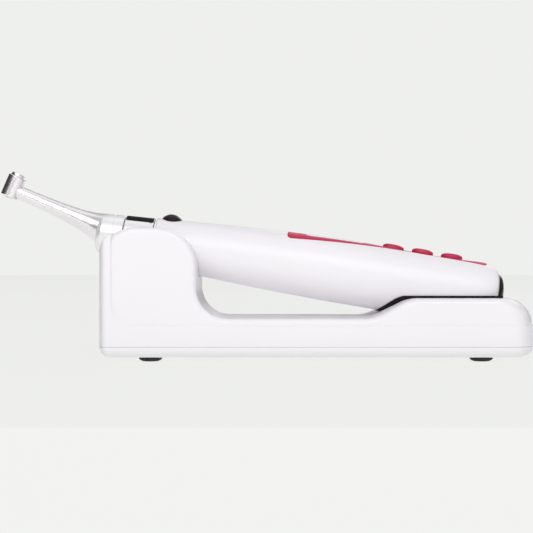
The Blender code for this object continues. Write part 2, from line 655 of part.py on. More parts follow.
def main():
    clear_scene()
    paint = {
        "white": material("white gloss plastic", (0.86, 0.85, 0.87), 0.25),
        "crimson": material("crimson plastic", (0.52, 0.03, 0.11), 0.3),
        "black": material("black plastic", (0.012, 0.01, 0.01), 0.3),
        "rubber": material("black rubber", (0.02, 0.02, 0.02), 0.7),
        "steel": material("steel", (0.6, 0.6, 0.6), 0.25, 1.0),
        "satin": material("satin metal", (0.72, 0.71, 0.72), 0.3, 1.0),
        "polished": material("polished metal", (0.8, 0.79, 0.79), 0.1, 1.0),
        "gold": material("gold plated contact", (0.9, 0.65, 0.25), 0.2, 1.0),
        "board": material("circuit board", (0.02, 0.18, 0.06), 0.5),
        "cell": material("cell sleeve", (0.05, 0.2, 0.5), 0.4),
        "window": material("display window", (0.1, 0.01, 0.02), 0.08),
        "lens": material("light lens", (0.7, 0.85, 0.8), 0.15),
    }
    hand = empty("handpiece_frame", frame(*HANDPIECE_PLACE, HANDPIECE_TILT))
    neck = empty("neck_frame", neck_matrix())
    bpy.context.view_layer.update()
    make_dock(paint, hand)
    make_handpiece(paint, hand)
    make_drive(paint, hand, neck)
    make_contra_angle(paint, hand, neck)


main()
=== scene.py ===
"""The looks of the cordless endodontic motor in its charging dock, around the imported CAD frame.

Lengths are in millimetres, which MM turns into metres. Places come from the frame: the
boxes of its nodes, and the joints' axes for the handpiece, the neck and the head.
"""

import json
import math

import bmesh
import bpy
from mathutils import Matrix, Vector


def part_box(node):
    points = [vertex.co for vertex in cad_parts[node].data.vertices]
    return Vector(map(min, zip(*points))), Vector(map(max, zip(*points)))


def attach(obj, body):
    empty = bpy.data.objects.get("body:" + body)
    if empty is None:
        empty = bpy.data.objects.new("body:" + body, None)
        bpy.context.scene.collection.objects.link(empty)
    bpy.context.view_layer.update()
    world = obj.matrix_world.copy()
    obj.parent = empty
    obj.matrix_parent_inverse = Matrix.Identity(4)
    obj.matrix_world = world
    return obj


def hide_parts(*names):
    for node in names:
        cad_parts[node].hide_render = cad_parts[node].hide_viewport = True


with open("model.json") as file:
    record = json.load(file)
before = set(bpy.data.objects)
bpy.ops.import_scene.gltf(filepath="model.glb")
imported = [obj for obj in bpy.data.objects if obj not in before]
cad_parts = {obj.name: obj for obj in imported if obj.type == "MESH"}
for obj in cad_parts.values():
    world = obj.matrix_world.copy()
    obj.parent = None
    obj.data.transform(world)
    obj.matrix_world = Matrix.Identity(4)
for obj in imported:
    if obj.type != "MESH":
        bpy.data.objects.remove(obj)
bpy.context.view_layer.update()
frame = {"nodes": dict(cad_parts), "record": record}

MM = 0.001

# The dock
EDGE = 2.2  # rounding of the tower's and pad's long edges
LEDGE_HEIGHT = 15.3
LEDGE_STEP = 0.55
BRIDGE_TOP = 18.3
PAD_TOP = 26.6
TOWER_RIGHT = -28.6
TOWER_LEFT_RADIUS = 13.0
TOWER_RIGHT_RADIUS = 17.0
PANEL_INDENT = 3.6  # from the end wall to the recessed side face of the tower
PANEL_CORNER = 10.0
RAMP = (46.5, 61.6)  # X of its foot and its head
RAMP_RADIUS = 16.0
BRIDGE_FILLET = 13.0
SHOULDER_RADIUS = 11.5
LEFT_PLAN = (3.6, 10.0)  # half axes of the plan's elliptical corners, along X and Y
RIGHT_PLAN = (11.0, 22.0)
CHANNEL_GAP = 0.5  # between the handpiece and the notch or trough
CHANNEL_TOP = 40.0  # the height of a channel's cutter over the handpiece's axis
LIP = 0.7  # rounding of the channel's lips
NOTCH = (-30.0, 30.0, 11.5)  # its ends along the handpiece, and its least radius less the gap
TROUGH = (80.0, 156.4, 14.2)
LINER_BEAD = 1.0  # how far the liner stands over the pad
LINER_START, LINER_END = 101.6, 153.4
LINER_GAP = 0.18
LINER_THICKNESS = 0.3
COVER_ROUNDING = 5.2
PLUG_RADIUS = 4.2  # of the opening round the power socket
SEAM_CLOSED = 0.1  # how far the shell and the cover each reach into the gap between them

# The handpiece, along its own axis from the front face
CASING = (
    (1.0, 10.5), (20.0, 11.6), (40.0, 12.7), (60.0, 13.5), (80.0, 14.0), (104.0, 14.2),
    (128.0, 14.0), (140.0, 13.8), (146.0, 13.4), (149.5, 12.4), (151.3, 11.1), (152.1, 9.6),
)
# How far the top is flattened under the panel and the keys
TOP_DIP = ((0.0, 0.0), (84.0, 0.0), (96.0, 0.55), (110.0, 1.1), (125.0, 1.25), (137.0, 0.8),
           (147.0, 0.0), (160.0, 0.0))
CASING_WALL = 1.5
SEAM = 0.05  # half of the gap between the casing's halves
SKIN_BLEND = 0.35
PANEL_ENDS = (58.0, 146.0)
PANEL_WIDTHS = ((58.0, 8.2), (100.0, 5.6), (146.0, 5.6))
WINDOW_ENDS = (66.0, 92.0)
WINDOW_HALF_WIDTH = 4.6
FIT = 0.12  # gap between panels that meet flush
KEYS = {"key_mode": 104.8, "key_down": 117.8, "key_up": 130.8}
KEY_HALF = (4.75, 3.0)
BUTTON_CENTRE = 7.0
BUTTON_RADIUS = 4.5
TAIL_START = 152.25
TAIL_RADIUS = 9.35

# The contra-angle
COLLAR_RADII = (9.42, 10.08)  # at its front and its back
# half the arc over the collar's top that the black band, partly a painted dark reflection, covers
BAND_HALF_ANGLE = 38.0
NECK_END = -4.0
NECK_RADII = ((-45.0, 3.0), (-38.8, 3.1), (-32.2, 3.35), (-25.5, 3.75), (-19.0, 4.35),
              (-15.5, 4.95), (-12.7, 5.6), (-10.0, 6.5), (-7.8, 7.2), (NECK_END, 7.6))
NECK_TIP_RADIUS = 2.95
HEAD_BOTTOM, HEAD_TOP = -3.67, 6.2
HEAD_BORE = 3.42
SHANK_HOLE = 1.95

# The studio, in metres but for the stage's radii and corners, which are in millimetres
CAMERA_PLACE = (0.001, -0.600, 0.0402)
CAMERA_LENS, CAMERA_SENSOR = 92.1, 36.0
AIM = (0.0, 0.0, 0.04)
LAMPS = {  # place, width, height, power
    "key_light": ((-0.1, -1.25, 0.85), 1.7, 0.8, 12.2),
    "top_light": ((0.1, 0.1, 1.6), 1.2, 0.8, 1.6),
    "back_light": ((0.5, 1.3, 0.8), 0.9, 0.7, 3.0),
}
FLOOR_RADIUS, WALL_RADIUS = 6000.0, 5900.0
WALL_ENDS = (-50.0, 4000.0)
CARD_CORNERS = ((-3000.0, -5000.0), (3000.0, -5000.0), (3000.0, -260.0), (-3000.0, -260.0))
BACKDROP = (0.86, 0.87, 0.85)
SKY = ((0.04, 0.05), (0.12, 0.05), (0.2, 0.95))  # brightness at three heights over the horizon


def axis_frame(name):
    """A frame in millimetres with its origin and X on a joint's axis and its Y along +Y."""
    joints = frame["record"]["behaviour"]["joints"]
    told = next(joint for joint in joints if joint["name"] == name)
    x = Vector(told["axis"]).normalized()
    y = Vector((0, 1, 0))
    z = x.cross(y)
    turn = Matrix((x, y, z)).transposed().to_4x4()
    return Matrix.Translation(Vector(told["pos_m"]) / MM) @ turn


HAND = axis_frame("motor_spin")
NECK = axis_frame("neck_spin")
CHUCK = axis_frame("chuck_spin")


# Boxes of the CAD's nodes, in millimetres

def box_of(node):
    low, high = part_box(node)
    return low / MM, high / MM


def nodes_named(start):
    return [node for node in frame["nodes"] if node.startswith(start)]


def middle_of(node):
    low, high = box_of(node)
    return (low + high) / 2


def box_along(node, place):
    """The corners of a CAD node's box along the axes of another frame."""
    mesh = frame["nodes"][node].data
    inverse = place.inverted()
    points = [inverse @ (Vector(v.co) / MM) for v in mesh.vertices]
    low = Vector([min(p[k] for p in points) for k in range(3)])
    high = Vector([max(p[k] for p in points) for k in range(3)])
    return low, high


# Geometry helpers, all in millimetres

def ease(stations, x):
    """A smooth curve through stations of (x, value), flat outside them."""
    if x <= stations[0][0]:
        return stations[0][1]
    if x >= stations[-1][0]:
        return stations[-1][1]
    i = next(k for k in range(len(stations) - 1) if x <= stations[k + 1][0])
    (x0, v0), (x1, v1) = stations[i], stations[i + 1]

    def slope(k):
        low, high = stations[max(0, k - 1)], stations[min(len(stations) - 1, k + 1)]
        return (high[1] - low[1]) / (high[0] - low[0])

    span = x1 - x0
    t = (x - x0) / span
    start, end = slope(i) * span, slope(i + 1) * span
    return (
        v0 * (2 * t ** 3 - 3 * t ** 2 + 1) + start * (t ** 3 - 2 * t ** 2 + t)
        + v1 * (3 * t ** 2 - 2 * t ** 3) + end * (t ** 3 - t ** 2)
    )


def rounded(corners, steps=6, closed=True):
    """A path of (a, b, radius) corners with each corner rounded by an arc."""
    points = []
    for i, (a, b, radius) in enumerate(corners):
        if radius == 0 or not closed and i in (0, len(corners) - 1):
            points.append((a, b))
            continue
        here = Vector((a, b))
        back = (Vector(corners[i - 1][:2]) - here).normalized()
        ahead = (Vector(corners[(i + 1) % len(corners)][:2]) - here).normalized()
        half = math.acos(max(-1.0, min(1.0, back.dot(ahead)))) / 2
        centre = here + (back + ahead).normalized() * radius / math.sin(half)
        start = here + back * radius / math.tan(half) - centre
        end = here + ahead * radius / math.tan(half) - centre
        sweep = start.angle_signed(end)
        for step in range(steps + 1):
            points.append(tuple(centre + Matrix.Rotation(-sweep * step / steps, 2) @ start))
    return points


def loft(rings, caps=True):
    """A skin over rings with the same number of points, closed by caps at both ends."""
    build = bmesh.new()
    loops = [[build.verts.new(point) for point in ring] for ring in rings]
    for near, far in zip(loops, loops[1:]):
        for i in range(len(near)):
            j = (i + 1) % len(near)
            build.faces.new((near[i], near[j], far[j], far[i]))
    if caps:
        build.faces.new(loops[0][::-1])
        build.faces.new(loops[-1])
    return build


def prism(outline, low, high):
    """An outline in X and Y between two heights."""
    return loft([[(x, y, z) for x, y in outline] for z in (low, high)])


def box(low, high):
    return prism(((low[0], low[1]), (high[0], low[1]), (high[0], high[1]), (low[0], high[1])),
                 low[2], high[2])


def circle(radius, steps, centre=(0.0, 0.0)):
    """The points of a circle, anticlockwise."""
    turns = [2 * math.pi * i / steps for i in range(steps)]
    return [(centre[0] + radius * math.cos(a), centre[1] + radius * math.sin(a)) for a in turns]


def turned(corners, steps=64, arc=5):
    """Turns a profile of (x, radius, rounding) corners about X.

    The profile starts and ends on the axis, or else is a closed ring.
    """
    on_axis = corners[0][1] == 0
    profile = rounded(corners, arc, closed=not on_axis)
    build = bmesh.new()
    rings = []
    for x, radius in profile:
        if radius < 1e-6:
            rings.append([build.verts.new((x, 0, 0))])
        else:
            rings.append([build.verts.new((x, y, z)) for y, z in circle(radius, steps)])
    for near, far in zip(rings, rings[1:] + ([] if on_axis else rings[:1])):
        for i in range(steps):
            j = (i + 1) % steps
            if len(near) == 1:
                build.faces.new((near[0], far[j], far[i]))
            elif len(far) == 1:
                build.faces.new((near[i], near[j], far[0]))
            else:
                build.faces.new((near[i], near[j], far[j], far[i]))
    return build


def upright(x=0.0, y=0.0, z=0.0):
    """A frame with its X along the parent's +Z and its Z along the parent's +X."""
    turn = Matrix(((0, 0, 1, 0), (0, -1, 0, 0), (1, 0, 0, 0), (0, 0, 0, 1)))
    return Matrix.Translation(Vector((x, y, z))) @ turn


def shift(x=0.0, y=0.0, z=0.0):
    return Matrix.Translation(Vector((x, y, z)))


def solid(name, build, place=None):
    """An object from a bmesh in millimetres that was built in the frame place."""
    bmesh.ops.recalc_face_normals(build, faces=build.faces)
    to_world = Matrix.Scale(MM, 4) @ (place or Matrix.Identity(4))
    bmesh.ops.transform(build, matrix=to_world, verts=build.verts)
    mesh = bpy.data.meshes.new(name)
    build.to_mesh(mesh)
    build.free()
    made = bpy.data.objects.new(name, mesh)
    bpy.context.scene.collection.objects.link(made)
    return made


def lay_along_hand(obj):
    """Moves an object that was built along the handpiece's own axes to the handpiece's place."""
    obj.data.transform(Matrix.Scale(MM, 4) @ HAND @ Matrix.Scale(1 / MM, 4))


def settle(obj):
    """Applies an object's modifiers."""
    graph = bpy.context.evaluated_depsgraph_get()
    mesh = bpy.data.meshes.new_from_object(obj.evaluated_get(graph))
    obj.modifiers.clear()
    old = obj.data
    obj.data = mesh
    mesh.name = old.name
    bpy.data.meshes.remove(old)


def combine(obj, cutters=(), additions=()):
    """Joins the additions to obj and cuts the cutters from it, and removes them all."""
    others = [(other, "UNION") for other in additions] + [(other, "DIFFERENCE") for other in cutters]
    for other, operation in others:
        modifier = obj.modifiers.new(operation, "BOOLEAN")
        modifier.operation = operation
        modifier.object = other
        modifier.solver = "EXACT"
    settle(obj)
    for other, _ in others:
        bpy.data.objects.remove(other, do_unlink=True)


def bevel_where(obj, width, wanted, sharp=30.0, segments=3):
    """Rounds the edges sharper than sharp degrees whose middle, in millimetres, is wanted."""
    build = bmesh.new()
    build.from_mesh(obj.data)
    bmesh.ops.remove_doubles(build, verts=build.verts, dist=0.002 * MM)
    bmesh.ops.dissolve_degenerate(build, edges=build.edges, dist=0.002 * MM)
    chosen = []
    for edge in build.edges:
        if len(edge.link_faces) != 2:
            continue
        middle = (edge.verts[0].co + edge.verts[1].co) / 2 / MM
        if edge.calc_face_angle(0.0) > math.radians(sharp) and wanted(middle):
            chosen.append(edge)
    bmesh.ops.bevel(build, geom=chosen, offset=width * MM, offset_type="OFFSET", segments=segments,
                    profile=0.5, affect="EDGES", clamp_overlap=True)
    build.to_mesh(obj.data)
    build.free()


def finish_piece(obj, paint, body, replaced=(), sharp=32.0):
    """Paints a piece, shades it and lets it ride on a body. It stands for the replaced nodes."""
    obj.data.materials.clear()
    obj.data.materials.append(paint)
    obj.data.shade_smooth()
    obj.data.set_sharp_from_angle(angle=math.radians(sharp))
    normals = obj.modifiers.new("even shading", "WEIGHTED_NORMAL")
    normals.keep_sharp = True
    normals.weight = 60
    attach(obj, body)
    if replaced:
        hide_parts(*replaced)


# Materials

class Paint:
    """A Principled material with helpers for its node tree."""

    def __init__(self, name, colour, roughness, metallic=0.0, **sockets):
        self.material = bpy.data.materials.new(name)
        self.material.use_nodes = True
        self.nodes = self.material.node_tree.nodes
        self.links = self.material.node_tree.links
        self.shader = self.nodes["Principled BSDF"]
        self.shader.inputs["Base Color"].default_value = (*colour, 1.0)
        self.shader.inputs["Roughness"].default_value = roughness
        self.shader.inputs["Metallic"].default_value = metallic
        for socket, value in sockets.items():
            self.shader.inputs[socket.replace("_", " ")].default_value = value
        self.place = self.nodes.new("ShaderNodeTexCoord")

    def noise(self, size, detail=3.0, kind="ShaderNodeTexNoise"):
        """A pattern whose features are about size millimetres across."""
        made = self.nodes.new(kind)
        made.inputs["Scale"].default_value = 1.0 / (size * MM)
        if "Detail" in made.inputs:
            made.inputs["Detail"].default_value = detail
        self.links.new(self.place.outputs["Object"], made.inputs["Vector"])
        return made

    def ramp(self, value, low, high, start, end):
        made = self.nodes.new("ShaderNodeMapRange")
        made.inputs["From Min"].default_value = low
        made.inputs["From Max"].default_value = high
        made.inputs["To Min"].default_value = start
        made.inputs["To Max"].default_value = end
        self.links.new(value, made.inputs["Value"])
        return made.outputs["Result"]

    def tint(self, value, first, second, low=0.35, high=0.65):
        """Runs the colour from first to second as value goes from low to high."""
        made = self.nodes.new("ShaderNodeValToRGB")
        made.color_ramp.elements[0].position = low
        made.color_ramp.elements[1].position = high
        made.color_ramp.elements[0].color = (*first, 1.0)
        made.color_ramp.elements[1].color = (*second, 1.0)
        self.links.new(value, made.inputs["Fac"])
        self.links.new(made.outputs["Color"], self.shader.inputs["Base Color"])

    def roughen(self, value, low, high):
        self.links.new(self.ramp(value, 0.3, 0.7, low, high), self.shader.inputs["Roughness"])

    def bump(self, value, height, strength=1.0):
        """A bump of height millimetres, added to any that is there."""
        made = self.nodes.new("ShaderNodeBump")
        made.inputs["Strength"].default_value = strength
        made.inputs["Distance"].default_value = height * MM
        self.links.new(value, made.inputs["Height"])
        before = self.shader.inputs["Normal"].links
        if before:
            self.links.new(before[0].from_socket, made.inputs["Normal"])
        self.links.new(made.outputs["Normal"], self.shader.inputs["Normal"])


def moulded(name, colour, deep, roughness, spread=0.04, **sockets):
    """Moulded plastic: a faint cloudiness, uneven gloss and the fine grain of the mould."""
    made = Paint(name, colour, roughness, **sockets)
    cloud = made.noise(40.0, 1.0)
    made.tint(cloud.outputs["Fac"], deep, colour, 0.2, 0.8)
    made.roughen(made.noise(14.0, 2.0).outputs["Fac"], roughness - spread, roughness + spread)
    made.bump(made.noise(0.4, 2.0).outputs["Fac"], 0.004, 0.3)
    return made.material


def metal(name, colour, deep, roughness, spread=0.05, metallic=1.0):
    """Finished metal: a fine grain, a roughness that follows it and a faint cloudiness."""
    made = Paint(name, colour, roughness, metallic)
    lines = made.noise(0.4, 3.0)
    made.tint(made.noise(7.0, 3.0).outputs["Fac"], deep, colour, 0.3, 0.7)
    made.roughen(lines.outputs["Fac"], roughness - spread, roughness + spread)
    made.bump(lines.outputs["Fac"], 0.0006, 0.15)
    return made.material


def make_paints():
    """Every material of the object, by a short name."""
    paints = {
        "white": moulded("white_plastic", (0.925, 0.905, 0.935), (0.91, 0.89, 0.92), 0.34, 0.03,
                         Specular_IOR_Level=0.4),
        "crimson": moulded("crimson_plastic", (0.60, 0.022, 0.10), (0.54, 0.018, 0.085), 0.42, 0.05,
                           Specular_IOR_Level=0.25),
        "key": moulded("crimson_key", (0.58, 0.022, 0.095), (0.50, 0.016, 0.075), 0.38, 0.06,
                       Specular_IOR_Level=0.35),
        "black": moulded("black_gloss", (0.009, 0.005, 0.005), (0.005, 0.003, 0.003), 0.32, 0.05,
                         Specular_IOR_Level=0.3),
        "black_matt": moulded("black_matt", (0.012, 0.009, 0.009), (0.008, 0.006, 0.006), 0.5, 0.08,
                              Specular_IOR_Level=0.2),
        "satin": metal("satin_metal", (0.95, 0.92, 0.94), (0.90, 0.87, 0.89), 0.3, 0.03),
        "bright": metal("bright_metal", (0.97, 0.96, 0.97), (0.93, 0.92, 0.93), 0.34, 0.04,
                        metallic=0.45),
        # black band over the collar's top, partly a painted dark reflection of the polished collar
        "band": moulded("black_band_and_dark_reflection", (0.011, 0.01, 0.01), (0.009, 0.008, 0.008), 0.6, 0.05,
                        Specular_IOR_Level=0.1),
        "steel": metal("machined_steel", (0.58, 0.57, 0.56), (0.45, 0.44, 0.43), 0.28, 0.08),
        "gold": metal("gold_plate", (0.95, 0.68, 0.28), (0.85, 0.58, 0.22), 0.18, 0.05),
        # black rubber lining of the trough, whose black is also painted shade for the gap round the
        # handpiece
        "shade_liner": moulded("shade_liner_rubber", (0.014, 0.009, 0.008), (0.009, 0.006, 0.006), 0.55, 0.06,
                         Specular_IOR_Level=0.2),
    }
    rubber = Paint("foot_rubber", (0.018, 0.017, 0.018), 0.72, Specular_IOR_Level=0.35)
    rubber.tint(rubber.noise(1.5, 4.0).outputs["Fac"], (0.012, 0.011, 0.012), (0.03, 0.028, 0.03))
    rubber.roughen(rubber.noise(0.8, 3.0).outputs["Fac"], 0.62, 0.82)
    rubber.bump(rubber.noise(0.25, 3.0).outputs["Fac"], 0.02, 0.6)
    paints["rubber"] = rubber.material

    board = Paint("board", (0.015, 0.16, 0.05), 0.38, Coat_Weight=0.2)
    tracks = board.noise(2.2, kind="ShaderNodeTexVoronoi")
    tracks.feature = "DISTANCE_TO_EDGE"
    board.tint(tracks.outputs["Distance"], (0.05, 0.28, 0.09), (0.012, 0.13, 0.045), 0.05, 0.12)
    board.bump(tracks.outputs["Distance"], 0.05, 0.5)
    paints["board"] = board.material

    cell = Paint("cell_sleeve", (0.03, 0.12, 0.38), 0.3, Coat_Weight=0.3)
    cell.tint(cell.noise(12.0, 4.0).outputs["Fac"], (0.02, 0.09, 0.3), (0.05, 0.16, 0.45))
    cell.bump(cell.noise(4.0, 4.0).outputs["Fac"], 0.15, 0.4)
    paints["cell"] = cell.material

    window = Paint("display_glass", (0.02, 0.004, 0.008), 0.06, Coat_Weight=0.6, Coat_Roughness=0.03)
    window.tint(window.noise(18.0, 2.0).outputs["Fac"], (0.012, 0.003, 0.006), (0.03, 0.006, 0.012))
    window.bump(window.noise(6.0, 1.0).outputs["Fac"], 0.01, 0.15)
    paints["window"] = window.material

    lens = Paint("light_lens", (0.75, 0.9, 0.85), 0.18, Transmission_Weight=0.4, IOR=1.49)
    lens.tint(lens.noise(1.0, 2.0).outputs["Fac"], (0.7, 0.88, 0.82), (0.82, 0.94, 0.9))
    lens.bump(lens.noise(0.4, 2.0).outputs["Fac"], 0.01, 0.4)
    paints["lens"] = lens.material
    return paints


# The dock

def dock_limits():
    """The corners of the dock's upper shell and its cradle, down to the hairline above the cover."""
    low, high = box_of("base_upper_shell")
    top = box_of("tower_cradle")[1]
    return low - Vector((0.0, 0.0, SEAM_CLOSED)), Vector((high.x, top.y, top.z))


def plan_ends(y, low, high, inset=0.0):
    """The dock's left and right ends at y, from the elliptical corners of its plan."""
    ends = []
    for end, side, (along, across) in ((low.x, -1, LEFT_PLAN), (high.x, 1, RIGHT_PLAN)):
        past = max(0.0, abs(y) - (high.y - across)) / across
        ends.append(end - side * (along * (1 - math.sqrt(max(0.0, 1 - past ** 2))) + inset))
    return ends


def side_rings(profile, half_width, edge, count=72):
    """Rings of a side profile across Y. Near both side faces the profile shrinks by a rounding."""
    rings = []
    for i in range(count + 1):
        y = -half_width * math.cos(math.pi * i / count)
        depth = half_width - abs(y)
        inset = edge - math.sqrt(max(0.0, edge ** 2 - max(0.0, edge - depth) ** 2))
        rings.append([(x, y, z) for x, z in profile(y, inset)])
    return rings


def dock_cutters(high):
    """The notch, the trough, the contact block's slot, and the socket's and the light's holes."""
    cutters = []
    for name, ends in (("notch", NOTCH), ("trough", TROUGH)):
        cutters.append(solid(name, channel(*ends), HAND))
    block_low, block_high = box_along("contact_block", HAND)
    slot = box((block_low.x - 6.0, block_low.y - 0.3, block_low.z - 0.3),
               (block_high.x + 0.3, block_high.y + 0.3, block_high.z + 5.0))
    cutters.append(solid("slot", slot, HAND))
    socket = middle_of("power_socket")
    jack = turned(((-12.0, 0, 0), (-12.0, PLUG_RADIUS, 0), (4.0, PLUG_RADIUS, 0), (4.0, 0, 0)))
    back = shift(socket.x, high.y, socket.z - 0.2) @ Matrix.Rotation(math.pi / 2, 4, "Z")
    cutters.append(solid("jack", jack, back))
    light = middle_of("status_light")
    well = turned(((-5.0, 0, 0), (-5.0, 1.5, 0), (6.0, 1.5, 0), (6.0, 0, 0)), 32)
    cutters.append(solid("well", well, shift(high.x - 1.0, light.y, light.z)))
    return cutters


def make_dock_shell(paint):
    """The tower, the bridge and the pad in one skin, over a plinth that stands out a little."""
    low, high = dock_limits()

    def upper(y, inset):
        left, right = plan_ends(y, low, high, LEDGE_STEP)
        return rounded((
            (left + inset, low.z + 1.0, 0),
            (right - inset, low.z + 1.0, 0),
            (right - inset, PAD_TOP - inset, SHOULDER_RADIUS - inset),
            (RAMP[1] + inset / 4, PAD_TOP - inset, RAMP_RADIUS - inset),
            (RAMP[0] + inset / 4, BRIDGE_TOP - inset, RAMP_RADIUS + inset),
            (TOWER_RIGHT - inset, BRIDGE_TOP - inset, BRIDGE_FILLET + inset),
            (TOWER_RIGHT - inset, high.z - inset, TOWER_RIGHT_RADIUS - inset),
            (left + inset, high.z - inset, TOWER_LEFT_RADIUS - inset),
        ), 12)

    def plinth(y, inset):
        left, right = plan_ends(y, low, high, inset)
        arm = max(left - inset + PANEL_INDENT * 0.45, low.x + PANEL_INDENT + 1.2) + inset
        centre = Vector((low.x + TOWER_LEFT_RADIUS, high.z - TOWER_LEFT_RADIUS))
        radius = TOWER_LEFT_RADIUS - inset
        start = math.acos((arm - centre.x) / radius)
        outer = []
        for step in range(9):
            a = start + (math.pi - start) * step / 8
            outer.append((max(centre.x + radius * math.cos(a), left), centre.y + radius * math.sin(a)))
        outline = rounded((
            (left, low.z, 0), (right, low.z, 0), (right, LEDGE_HEIGHT - inset, 0.4),
            (arm, LEDGE_HEIGHT - inset, PANEL_CORNER + inset),
            (arm, centre.y + 1.0, 0),
        ), 12)
        return outline + outer

    shell = solid("dock_shell", loft(side_rings(upper, high.y - LEDGE_STEP, EDGE)))
    band = solid("plinth", loft(side_rings(plinth, high.y, 0.5)))
    combine(shell, dock_cutters(high), [band])

    inverse = HAND.inverted()

    def on_lip(point):
        local = inverse @ point
        radius = max(ease(CASING, local.x), CASING[0][1]) + CHANNEL_GAP
        return point.z > BRIDGE_TOP + 0.2 and abs(local.y) < radius + 0.6 and local.x < 158.0

    bevel_where(shell, LIP, on_lip, 30.0)
    finish_piece(shell, paint["white"], "dock", ("base_upper_shell", "tower_cradle"))


def make_shade_liner(paint):
    """A thin dark lining along the trough, partly painted shade for the gap round the handpiece. Its
    bead stands just over the pad's lips.
    """
    rings = []
    steps = 40
    for x in stations(LINER_START, LINER_END, 1.6):
        inside = max(ease(CASING, x), TROUGH[2]) + LINER_GAP
        outside = inside + LINER_THICKNESS
        centre = HAND @ Vector((x, 0.0, 0.0))
        top = dock_top(centre.x) + LINER_BEAD
        lift = (top - centre.z) / HAND.to_3x3()[2][2]
        half = math.acos(max(-0.999, min(0.999, -lift / inside)))
        angles = [-half + 2 * half * step / steps for step in range(steps + 1)]
        inner = [(x, inside * math.sin(a), -inside * math.cos(a)) for a in angles]
        outer = [(x, outside * math.sin(a), -outside * math.cos(a)) for a in angles]
        rings.append(inner + outer[::-1])
    # the lining's black is partly rubber and partly painted shade in the trough
    shade_liner = solid("trough_shade_liner", loft(rings), HAND)
    finish_piece(shade_liner, paint["shade_liner"], "dock")


def dock_top(x):
    """The height of the bridge, ramp or pad at x."""
    share = min(1.0, max(0.0, (x - RAMP[0]) / (RAMP[1] - RAMP[0])))
    return BRIDGE_TOP + (PAD_TOP - BRIDGE_TOP) * (3 * share ** 2 - 2 * share ** 3)


def channel(start, end, least, steps=40, count=24):
    """The long U that the handpiece lies in, open upwards, along the handpiece's axis."""
    rings = []
    for i in range(count + 1):
        x = start + (end - start) * i / count
        radius = max(ease(CASING, x), least) + CHANNEL_GAP
        arc = [math.pi * step / steps for step in range(steps + 1)]
        curve = [(x, radius * math.cos(a), -radius * math.sin(a)) for a in arc]
        rings.append([(x, radius, CHANNEL_TOP)] + curve + [(x, -radius, CHANNEL_TOP)])
    return loft(rings)


def make_dock_cover(paint):
    """The bottom cover, whose rounded edge runs down from the seam, with a well for each screw."""
    low, high = box_of("base_bottom_cover")
    high.z += SEAM_CLOSED
    steps = 14
    rings = []
    levels = []
    for step in range(11):
        a = math.pi / 2 * step / 10
        rise = (high.z - low.z - 0.3) * (1 - math.cos(a))
        levels.append((low.z + rise, COVER_ROUNDING * (1 - math.sin(a))))
    levels += [(high.z - 0.15, 0.0), (high.z, 0.15)]
    for z, inset in levels:
        points = []
        for end, side, (along, across), way in (
            (low.x, -1, LEFT_PLAN, -1), (high.x, 1, RIGHT_PLAN, -1),
            (high.x, 1, RIGHT_PLAN, 1), (low.x, -1, LEFT_PLAN, 1),
        ):
            along = max(along, inset + 0.4)
            for step in range(steps + 1):
                a = math.pi / 2 * step / steps
                if side * way < 0:
                    a = math.pi / 2 - a
                points.append((end - side * along + side * (along - inset) * math.cos(a),
                               way * (high.y - across) + way * (across - inset) * math.sin(a)))
        rings.append([(x, y, z) for x, y in points])
    cover = solid("dock_cover", loft(rings))
    cutters = []
    for node in nodes_named("cover_screw"):
        middle = middle_of(node)
        well = turned(((0.0, 0, 0), (0.0, 2.7, 0), (3.0, 2.6, 0), (3.0, 0, 0)), 40)
        cutters.append(solid("well", well, upright(middle.x, middle.y, low.z - 1.2)))
    combine(cover, cutters)
    bevel_where(cover, 0.25, lambda p: p.z < low.z + 0.1, 40.0, 2)
    finish_piece(cover, paint["white"], "dock", ("base_bottom_cover",))


def make_feet(paint):
    """Round rubber pads with a shallow groove in their soles."""
    for node in nodes_named("foot_"):
        middle = middle_of(node)
        top = box_of(node)[1].z + 0.28
        foot = turned((
            (0.0, 0, 0), (0.0, 1.2, 0), (0.25, 1.4, 0), (0.25, 2.0, 0), (0.0, 2.2, 0), (0.0, 3.2, 0.8),
            (0.5, 4.4, 0.8), (1.15, 4.95, 0.2), (top, 4.9, 0.1), (top, 0, 0),
        ), 56, 3)
        made = solid(node + "_pad", foot, upright(middle.x, middle.y))
        finish_piece(made, paint["rubber"], "dock", (node,))


def make_screws(paint):
    """The cover's screws, with a cross recess in their heads."""
    for node in nodes_named("cover_screw"):
        low, high = box_of(node)
        middle = middle_of(node)
        screw = turned((
            (low.z, 0, 0), (low.z, 1.5, 0), (low.z + 0.25, 2.15, 0.2), (low.z + 0.8, 2.2, 0.1),
            (low.z + 0.8, 1.0, 0), (high.z - 0.6, 1.0, 0), (high.z, 0, 0),
        ), 40, 3)
        made = solid(node + "_head", screw, upright(middle.x, middle.y))
        arms = []
        for long_x, long_y in ((1.25, 0.26), (0.26, 1.25)):
            arms.append(solid("arm", box((middle.x - long_x, middle.y - long_y, low.z - 1.0),
                                         (middle.x + long_x, middle.y + long_y, low.z + 0.55))))
        combine(made, arms)
        finish_piece(made, paint["steel"], "dock", (node,))


# The handpiece

def top_skin(x, y):
    """The height of the handpiece's skin above its axis, near its top."""
    radius = ease(CASING, x)
    flat = radius - ease(TOP_DIP, x)
    bulge = math.sqrt(max(0.0, radius ** 2 - y ** 2))
    lower = (bulge + flat - math.sqrt((bulge - flat) ** 2 + SKIN_BLEND ** 2)) / 2
    return lower + SKIN_BLEND / 2


def casing_point(x, angle, wall):
    """A point on the skin at angle from straight down, set in by wall."""
    radius = ease(CASING, x) - wall
    y, z = radius * math.sin(angle), -radius * math.cos(angle)
    if z > 0:
        limit = top_skin(x, y) - wall
        z = min(z, limit)
    return y, z


def stations(start, end, spacing):
    """Evenly spaced values from start to end, at most spacing apart."""
    count = max(2, math.ceil((end - start) / spacing))
    return [start + (end - start) * i / count for i in range(count + 1)]


